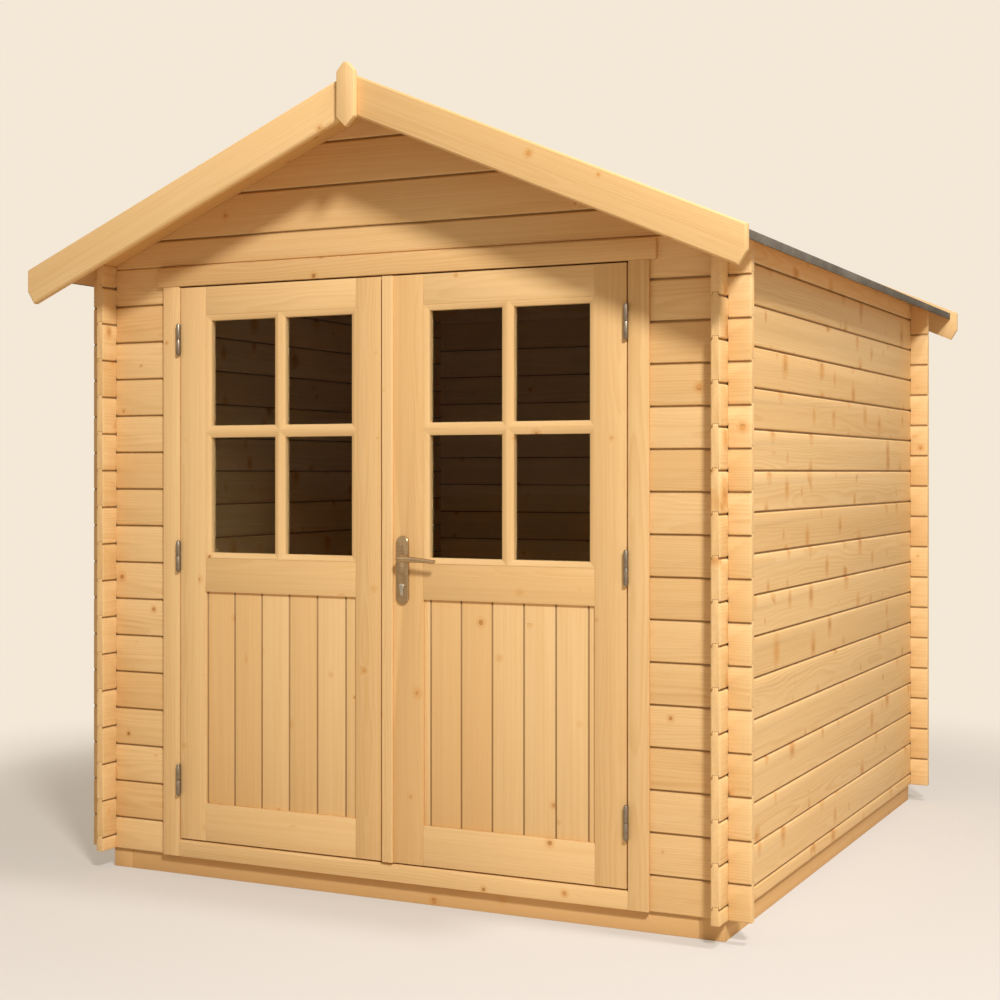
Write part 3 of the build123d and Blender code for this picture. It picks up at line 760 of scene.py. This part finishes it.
@dataclass
class Roof:
    """Purlin, roof boards with V-joints, felt with its laps and nails."""

    maker: Builder
    board: float = 0.0973
    joint: float = 0.003
    lap_from_ridge: float = 0.62
    lap_depth: float = 0.0022
    felt_fold: float = 0.0016
    purlin_arris: float = 0.0015
    nail_radius: float = 0.0045
    nail_height: float = 0.0014
    nail_pitch: float = 0.10
    strip_margin: float = 0.018
    lap_margin: float = 0.02

    def roof_boards(self, side: str) -> None:
        """Boards from ridge to eave, with V-joints below, in place of one slope's slab.

        Args:
            side: left or right.
        """
        node = f"roof_boards_{side}"
        slope = ROOF_SLOPE if side == "left" else -ROOF_SLOPE
        low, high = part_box(node)
        count = round((high.y - low.y) / self.board)
        pitch = (high.y - low.y) / count
        joints = [low.y + pitch * i for i in range(1, count)]
        piece = copy_node(node, node + "_timber")
        edit(piece)
        for joint in joints:
            bpy.ops.mesh.select_all(action="SELECT")
            bpy.ops.mesh.bisect(plane_co=(0, joint, 0), plane_no=(0, 1, 0))
        lowest = min(v.co.z - slope * v.co.x for v in bmesh.from_edit_mesh(piece.data).verts)

        def on_joint(a: Vector, b: Vector) -> bool:
            """Edge across the boards' underside at a joint."""
            level = abs(a.y - b.y) < MERGE and any(abs(a.y - y) < MERGE for y in joints)
            return level and max(p.z - slope * p.x for p in (a, b)) - lowest < 2 * MERGE

        pick("EDGE", on_joint)
        bpy.ops.mesh.bevel(offset=self.joint, segments=2, profile=0.0, affect="EDGES")
        leave()
        grain = Grain.LEFT_SLOPE if side == "left" else Grain.RIGHT_SLOPE
        sawing = Sawing(grain, split=Vector((0, 1, 0)), pitch=pitch, origin=low.y, lying=True)
        sawing.write(piece)
        self.maker.dress(piece, Kind.ROOF, "shed", node)

    def felt(self, side: str) -> None:
        """Felt of one slope, stepped down where the upper sheet laps the lower one.

        Args:
            side: left or right.
        """
        node = f"roof_felt_{side}"
        sign = -1 if side == "left" else 1
        piece = copy_node(node, node + "_sheet")
        edit(piece)
        for x in (self.lap_from_ridge, self.lap_from_ridge + self.lap_depth):
            bpy.ops.mesh.select_all(action="SELECT")
            bpy.ops.mesh.bisect(plane_co=(sign * x, 0, 0), plane_no=(1, 0, 0))
        edge = self.lap_from_ridge + self.lap_depth - MERGE
        pick("FACE", lambda c, n: n.z > 0.5 and sign * c.x > edge)
        bpy.ops.transform.translate(value=(0, 0, -self.lap_depth))
        leave()
        ease(piece, self.felt_fold)
        self.maker.dress(piece, Kind.FELT, "shed", node)

    def nail(self) -> Piece:
        """One flat-headed clout nail, its head at the origin and facing up."""
        piece = cylinder(10, self.nail_radius, self.nail_height * 2)
        edit(piece)
        pick("FACE", lambda c, n: n.z > 0.9)
        bpy.ops.mesh.inset(thickness=self.nail_radius * 0.25)
        bpy.ops.transform.translate(value=(0, 0, self.nail_height * 0.35))
        leave()
        return piece

    def nails(self) -> None:
        """Rows of nails along the ridge strip's edges and along the laps."""
        first = self.nail()
        low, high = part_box("ridge_felt")
        rows = ((high.x - self.strip_margin, high.z),
                (self.lap_from_ridge - self.lap_margin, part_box("roof_felt_right")[1].z))
        count = round((high.y - low.y) / self.nail_pitch)
        copies = []
        for sign in (-1, 1):
            for x, top in rows:
                for i in range(count):
                    copy = bpy.data.objects.new("nail", first.data.copy())
                    bpy.context.scene.collection.objects.link(copy)
                    y = low.y + (high.y - low.y) * (i + 0.5) / count
                    copy.location = (sign * x, y, top - ROOF_SLOPE * x)
                    copy.rotation_euler = (0, sign * math.atan(ROOF_SLOPE), 0)
                    copies.append(copy)
        bpy.data.objects.remove(first)
        piece = join(copies[0], copies[1:])
        piece.name = "felt_nails"
        settle(piece)
        self.maker.dress(piece, Kind.STEEL, "shed")

    def build(self) -> None:
        """Makes the roof."""
        self.maker.timber("ridge_purlin", Kind.ROOF, Sawing(Grain.DEEP), self.purlin_arris)
        for side in ("left", "right"):
            self.roof_boards(side)
            self.felt(side)
        strip = copy_node("ridge_felt", "ridge_felt_sheet")
        ease(strip, self.felt_fold)
        self.maker.dress(strip, Kind.FELT, "shed", "ridge_felt")
        self.nails()


@dataclass
class Trims:
    """Bargeboards and the king boards that cover their joints."""

    maker: Builder
    arris: float = 0.0009
    king_arris: float = 0.0022

    def build(self) -> None:
        """Makes the boards on both roof edges."""
        maker = self.maker
        for end in ("front", "back"):
            maker.timber(f"bargeboard_{end}_left", Kind.TRIM, Sawing(Grain.LEFT_SLOPE), self.arris)
            maker.timber(f"bargeboard_{end}_right", Kind.TRIM, Sawing(Grain.RIGHT_SLOPE), self.arris)
            maker.timber(f"king_board_{end}", Kind.TRIM, Sawing(Grain.UPRIGHT), self.king_arris)


@dataclass
class DoorFrame:
    """Jambs, head, trims and threshold around the doorway."""

    maker: Builder
    arris: float = 0.002

    def build(self) -> None:
        """Makes the frame's timbers."""
        maker = self.maker
        for side in ("left", "right"):
            maker.timber(f"door_jamb_{side}", Kind.TRIM, Sawing(Grain.UPRIGHT), self.arris)
        for node in ("door_head", "door_threshold", "door_head_trims"):
            maker.timber(node, Kind.TRIM, Sawing(Grain.SIDEWAYS), self.arris)


@dataclass
class DoorLeaf:
    """One leaf: framed, with crossing glazing bars above and a boarded panel below."""

    maker: Builder
    side: str
    arris: float = 0.0009
    bar_rise: float = 0.015
    panel_board: float = 0.0974
    panel_first_left: float = 0.0045
    panel_first_right: float = 0.021
    panel_arris: float = 0.0005
    strip_arris: float = 0.0006

    def bar_runs_up(self, place: Vector) -> bool:
        """Whether a point of the glazing bars lies on an upright one."""
        low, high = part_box(f"{self.side}_leaf_bars")
        to_upright = min(abs(place.x - x) for x in (low.x, (low.x + high.x) / 2, high.x))
        to_level = min(abs(place.z - z) for z in (low.z, (low.z + high.z) / 2 + self.bar_rise, high.z))
        return to_upright < to_level

    def build(self) -> None:
        """Makes the leaf's timbers and glass."""
        maker = self.maker
        name = f"{self.side}_leaf"
        maker.timber(f"{name}_stiles", Kind.DOOR, Sawing(Grain.UPRIGHT), self.arris)
        maker.timber(f"{name}_rails", Kind.DOOR, Sawing(Grain.SIDEWAYS), self.arris)
        bars = Sawing(Grain.SIDEWAYS, Grain.UPRIGHT, self.bar_runs_up)
        maker.timber(f"{name}_bars", Kind.DOOR, bars, self.arris)
        first = self.panel_first_left if self.side == "left" else self.panel_first_right
        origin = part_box(f"{name}_panel")[0].x + first
        # The panel's slanted V-groove faces take painted shade.
        panel = Sawing(Grain.UPRIGHT, split=Vector((1, 0, 0)), pitch=self.panel_board, origin=origin,
                       in_shaded_gap=lambda c, n: abs(n.x) > 0.3 and abs(n.y) > 0.3)
        maker.timber(f"{name}_panel", Kind.DOOR, panel, self.panel_arris)
        if self.side == "right":
            maker.timber("astragal", Kind.DOOR, Sawing(Grain.UPRIGHT), self.strip_arris)
        glass = frame["nodes"][f"{name}_glass"]
        glass.data.materials.clear()
        glass.data.materials.append(maker.finishes.of(Kind.GLASS))
        maker.report(glass)


@dataclass
class Hinges:
    """Lift-off hinges with capped barrels."""

    maker: Builder
    arris: float = 0.0007
    cap_radius: float = 0.0052
    cap_height: float = 0.0032
    cap_round: float = 0.85
    barrel_radius: float = 0.007
    barrel_depth: float = 0.012

    def cap(self, place: Vector, up: bool) -> Piece:
        """A small rounded cap on one end of a barrel.

        Args:
            place: Middle of the barrel's end.
            up: Whether the cap stands on top of the barrel.

        Returns:
            The cap, in its place.
        """
        rise = Vector((0, 0, self.cap_height / 2 if up else -self.cap_height / 2))
        piece = cylinder(20, self.cap_radius, self.cap_height, place + rise)
        tip = (place + 2 * rise).z
        edit(piece, "EDGE")
        pick("EDGE", lambda a, b: abs(a.z - tip) < MERGE and abs(b.z - tip) < MERGE)
        bpy.ops.mesh.bevel(offset=self.cap_height * self.cap_round, segments=4, affect="EDGES")
        leave()
        alone(piece)
        bpy.ops.object.shade_smooth_by_angle(angle=SMOOTH)
        return piece

    def halves(self, node: str, up: bool) -> None:
        """Replaces one side's hinge halves with eased ones that carry caps.

        Args:
            node: The CAD node.
            up: Whether its caps stand on top.
        """
        piece = copy_node(node, node + "_eased")
        ease(piece, self.arris)
        part = islands(piece.data)
        caps = []
        for number in sorted(set(part)):
            spots = [v.co for v, owner in zip(piece.data.vertices, part) if owner == number]
            front = min(s.y for s in spots)
            round_x = [s.x for s in spots if s.y < front + self.barrel_depth]
            level = max(s.z for s in spots) if up else min(s.z for s in spots)
            middle = Vector(((min(round_x) + max(round_x)) / 2, front + self.barrel_radius, level))
            caps.append(self.cap(middle, up))
        self.maker.dress(join(piece, caps), Kind.STEEL, body_of(node), node)

    def build(self) -> None:
        """Makes both halves of every hinge."""
        for side in ("left", "right"):
            self.halves(f"frame_hinges_{side}", False)
            self.halves(f"{side}_leaf_hinges", True)


@dataclass
class HandleSet:
    """Long plates, profile cylinder with its keyway, and a pair of levers."""

    maker: Builder
    neck_radius: float = 0.0080
    bend_radius: float = 0.010
    neck_length: float = 0.036
    lever_length: float = 0.124
    lever_depth: float = 0.011
    lever_height: float = 0.018
    tip_height: float = 0.0095
    tip_slant: float = 0.004
    droop: float = 0.006
    rim: float = 0.0012
    collar_radius: float = 0.0108
    collar_height: float = 0.0016
    plug_radius: float = 0.0062
    plug_proud: float = 0.0006
    slot_half: float = 0.0011
    slot_reach: float = 0.0042
    play: float = 0.0003
    crown: float = 0.0006
    collar_arris: float = 0.0003
    plate_arris: float = 0.0006
    lock_arris: float = 0.0004

    def lever(self, start: Vector, out: int) -> Piece:
        """One lever: a round neck that bends into a flattened, tapering grip.

        Args:
            start: Middle of the neck's foot.
            out: -1 for the outside, 1 for the inside.

        Returns:
            The lever, with its place in its mesh.
        """
        bpy.ops.object.select_all(action="DESELECT")
        bpy.ops.mesh.primitive_circle_add(
            vertices=20, radius=self.neck_radius, fill_type="NGON", location=start, rotation=(QUARTER, 0, 0))
        piece = bpy.context.object
        settle(piece)
        edit(piece)
        bpy.ops.mesh.select_all(action="SELECT")
        grip_y = start.y + out * (self.neck_length - self.lever_depth / 2)
        straight = abs(grip_y - start.y) - self.bend_radius
        for share in (0.12, 0.88):
            bpy.ops.mesh.extrude_region_move(
                TRANSFORM_OT_translate={"value": (0, out * straight * share, 0)})
        centre = Vector((start.x + self.bend_radius, grip_y - out * self.bend_radius, start.z))
        bpy.ops.mesh.spin(steps=6, angle=QUARTER, center=centre, axis=(0, 0, out))
        flat = self.lever_depth / (2 * self.neck_radius)
        tall = self.lever_height / (2 * self.neck_radius)
        run = self.lever_length - self.bend_radius
        # Share of the run, share of the droop, then width and height over those before.
        stops = [(0.10, 0.0, flat, tall), (0.30, 0.10, 1.0, 0.94), (0.58, 0.38, 0.96, 0.80),
                 (0.86, 0.80, 0.96, 0.84), (1.0, 1.0, 0.98, 0.92)]
        done, fallen = 0.0, 0.0
        for share, drop, wide, high in stops:
            step = Vector(((share - done) * run, 0, -(drop - fallen) * self.droop))
            bpy.ops.mesh.extrude_region_move(TRANSFORM_OT_translate={"value": step})
            bpy.ops.transform.resize(value=(1, wide, high))
            done, fallen = share, drop
        tip = start.x + self.lever_length
        bottom = start.z - self.droop
        pick("FACE", lambda c, n: n.x > 0.7 and c.x > tip - 0.002)
        bpy.ops.mesh.inset(thickness=self.rim)
        bpy.ops.transform.translate(value=(0.0008, 0, 0))
        mesh = bmesh.from_edit_mesh(piece.data)
        for vertex in mesh.verts:
            if vertex.co.x > tip - 0.003:
                vertex.co.x -= self.tip_slant * max(0.0, (bottom + self.tip_height / 2 - vertex.co.z)) \
                    / self.tip_height
        bmesh.update_edit_mesh(piece.data)
        bpy.ops.mesh.select_all(action="SELECT")
        bpy.ops.mesh.normals_make_consistent(inside=False)
        leave()
        add_modifier(piece, "SUBSURF", levels=1, render_levels=1)
        bpy.ops.object.shade_smooth_by_angle(angle=math.radians(50))
        return piece

    def collar(self, place: Vector, out: int) -> Piece:
        """Low ring around the foot of a neck.

        Args:
            place: Middle of the ring, on the plate's face.
            out: -1 for the outside, 1 for the inside.

        Returns:
            The ring, with its place in its mesh.
        """
        middle = place + Vector((0, out * self.collar_height / 2, 0))
        piece = cylinder(32, self.collar_radius, self.collar_height, middle, level=True)
        edit(piece)
        pick("FACE", lambda c, n: n.y * out > 0.9)
        bpy.ops.mesh.inset(thickness=self.rim)
        bpy.ops.transform.translate(value=(0, out * self.crown, 0))
        leave()
        ease(piece, self.collar_arris)
        return piece

    def plug(self, place: Vector, out: int) -> Piece:
        """Turning core of the cylinder, with its keyway sunk in.

        Args:
            place: Middle of the core, on the cylinder's face.
            out: -1 for the outside, 1 for the inside.

        Returns:
            The core, with its place in its mesh.
        """
        piece = cylinder(28, self.plug_radius, 2 * self.plug_proud, place, level=True)
        edit(piece)
        face_y = place.y + out * self.plug_proud
        slot = Vector((self.slot_half, 0, self.slot_reach))
        for normal in ((1, 0, 0), (0, 0, 1)):
            for corner in (place - slot, place + slot):
                pick("FACE", lambda c, n: n.y * out > 0.9)
                bpy.ops.mesh.bisect(plane_co=corner, plane_no=normal)
        pick("FACE", lambda c, n: n.y * out > 0.9 and abs(c.x - place.x) < self.slot_half * 0.9
             and abs(c.z - place.z) < self.slot_reach * 0.9 and abs(c.y - face_y) < MERGE)
        sunk = (0, -out * 0.9 * self.plug_proud, 0)
        bpy.ops.mesh.extrude_region_move(TRANSFORM_OT_translate={"value": sunk})
        leave()
        return piece

    def build(self) -> None:
        """Makes the plates, the cylinder and the levers."""
        plates = copy_node("handle_plates", "handle_plates_eased")
        ease(plates, self.plate_arris, 3)
        self.maker.dress(plates, Kind.HANDLE, "right_leaf", "handle_plates")
        low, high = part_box("lock_cylinder")
        axis_x = (low.x + high.x) / 2
        core_z = high.z - (high.x - low.x) / 2
        lock = copy_node("lock_cylinder", "lock_cylinder_eased")
        ease(lock, self.lock_arris)
        plugs = [self.plug(Vector((axis_x, y, core_z)), out) for y, out in ((low.y, -1), (high.y, 1))]
        self.maker.dress(join(lock, plugs), Kind.LOCK, "right_leaf", "lock_cylinder")
        low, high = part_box("handle_plates")
        axis_z = frame["joints"][2]["pos_m"][2]
        feet = [(Vector((axis_x, y, axis_z)), out)
                for y, out in ((low.y - self.play, -1), (high.y + self.play, 1))]
        levers = [self.lever(*foot) for foot in feet]
        pair = join(levers[0], [levers[1], *(self.collar(*foot) for foot in feet)])
        pair.name = "lever_pair"
        self.maker.dress(pair, Kind.HANDLE, "lever", "lever_handle")


@dataclass
class Studio:
    """Pale floor and backdrop, soft light and the photograph's view."""

    paper: Colour = (0.905, 0.807, 0.680)
    floor_seen: Colour = (0.655, 0.64, 0.635)
    floor_bounce: Colour = (0.62, 0.56, 0.48)
    floor_size: float = 160.0
    floor_glow: float = 0.34
    fade_from: float = 1.9
    fade_to: float = 3.6
    light_colour: Colour = (1.0, 0.99, 0.975)
    sky_colour: Colour = (1.0, 0.82, 0.62)
    key_place: Point = (4.6, -6.2, 6.0)
    key_target: Point = (0.0, -0.6, 1.1)
    key_power: float = 570.0
    key_size: float = 1.1
    side_place: Point = (3.7, -1.2, 7.8)
    side_target: Point = (1.0, 0.0, 1.0)
    side_power: float = 250.0
    side_size: float = 0.8
    sky_strength: float = 0.42
    eye: Point = (2.4289, -5.379, 1.2374)
    turn: float = 25.912
    lens: float = 61.336
    shift: float = -0.02794

    def lamp(self, name: str, place: Point, target: Point, power: float, size: float) -> None:
        """Adds a round lamp that shines at a point.

        Args:
            name: Lamp's name.
            place: Where it stands.
            target: Point that it shines at.
            power: Its power in watts.
            size: Its width in metres.
        """
        light = bpy.data.lights.new(name, "AREA")
        light.shape = "DISK"
        light.size = size
        light.energy = power
        light.color = self.light_colour
        holder = bpy.data.objects.new(name, light)
        holder.location = place
        holder.rotation_euler = (Vector(target) - Vector(place)).to_track_quat("-Z", "Y").to_euler()
        bpy.context.scene.collection.objects.link(holder)

    def lights(self) -> None:
        """Sets a soft lamp high at the front right and a weaker one above the side wall."""
        self.lamp("key", self.key_place, self.key_target, self.key_power, self.key_size)
        self.lamp("side", self.side_place, self.side_target, self.side_power, self.side_size)

    def floor(self) -> None:
        """Lays the pale floor, which fades into the backdrop's colour far from the shed."""
        bpy.ops.object.select_all(action="DESELECT")
        bpy.ops.mesh.primitive_plane_add(size=self.floor_size, location=(0, 0, 0))
        ground = bpy.context.object
        ground.name = "studio_floor"
        g = Graph("studio floor")
        place = g.node("TexCoord").outputs["Object"]
        far = g.node("VectorMath", place, operation="LENGTH").outputs["Value"]
        seen = g.node("LightPath").outputs["Is Camera Ray"]
        albedo = g.mix(seen, self.floor_bounce, self.floor_seen)
        glow = g.node("Emission", self.paper, 1.0)
        share = g.math("MULTIPLY", seen, g.span(far, self.fade_from, self.fade_to, self.floor_glow, 1.0))
        both = g.node("MixShader", share, g.shader.outputs[0], glow.outputs[0])
        g.put(g.tree.nodes["Material Output"].inputs["Surface"], both.outputs[0])
        ground.data.materials.append(g.fill(Base_Color=albedo, Roughness=0.9, Specular_IOR_Level=0.0))

    def sky(self) -> None:
        """Sets a soft sky that shows as plain paper to the camera and in gloss."""
        g = Graph("studio sky", bpy.data.worlds)
        g.tree.nodes.clear()
        light = g.node("Background", self.sky_colour, self.sky_strength)
        paper = g.node("Background", self.paper, 1.0)
        path = g.node("LightPath").outputs
        seen = path["Is Camera Ray"]
        for ray in ("Is Glossy Ray", "Is Transmission Ray"):
            seen = g.math("MAXIMUM", seen, path[ray])
        both = g.node("MixShader", seen, light.outputs[0], paper.outputs[0])
        g.put(g.node("OutputWorld").inputs["Surface"], both.outputs[0])
        bpy.context.scene.world = g.owner

    def camera(self) -> None:
        """Sets the camera at the photograph's viewpoint."""
        view = bpy.data.cameras.new("view")
        view.lens = self.lens
        view.sensor_width = 36.0
        view.sensor_fit = "HORIZONTAL"
        view.shift_y = self.shift
        view.clip_end = 400.0
        holder = bpy.data.objects.new("view", view)
        holder.location = self.eye
        holder.rotation_euler = (math.pi / 2, 0, math.radians(self.turn))
        bpy.context.scene.collection.objects.link(holder)
        bpy.context.scene.camera = holder

    def build(self) -> None:
        """Sets up the floor, lights and camera."""
        self.floor()
        self.sky()
        self.lights()
        self.camera()
        bpy.context.scene.view_settings.view_transform = "Standard"


def main() -> None:
    """Builds every sub-assembly in order."""
    logging.basicConfig(level=logging.INFO, format="%(name)s %(message)s")
    maker = Builder(Finishes())
    assemblies: Sequence[Any] = (
        Walls(maker), BaseAndFloor(maker), Roof(maker), Trims(maker), DoorFrame(maker),
        DoorLeaf(maker, "left"), DoorLeaf(maker, "right"), Hinges(maker), HandleSet(maker), Studio(),
    )
    for assembly in assemblies:
        assembly.build()
        log.info("%s: %d pieces so far", type(assembly).__name__, maker.count)


if __name__ == "__main__":
    main()
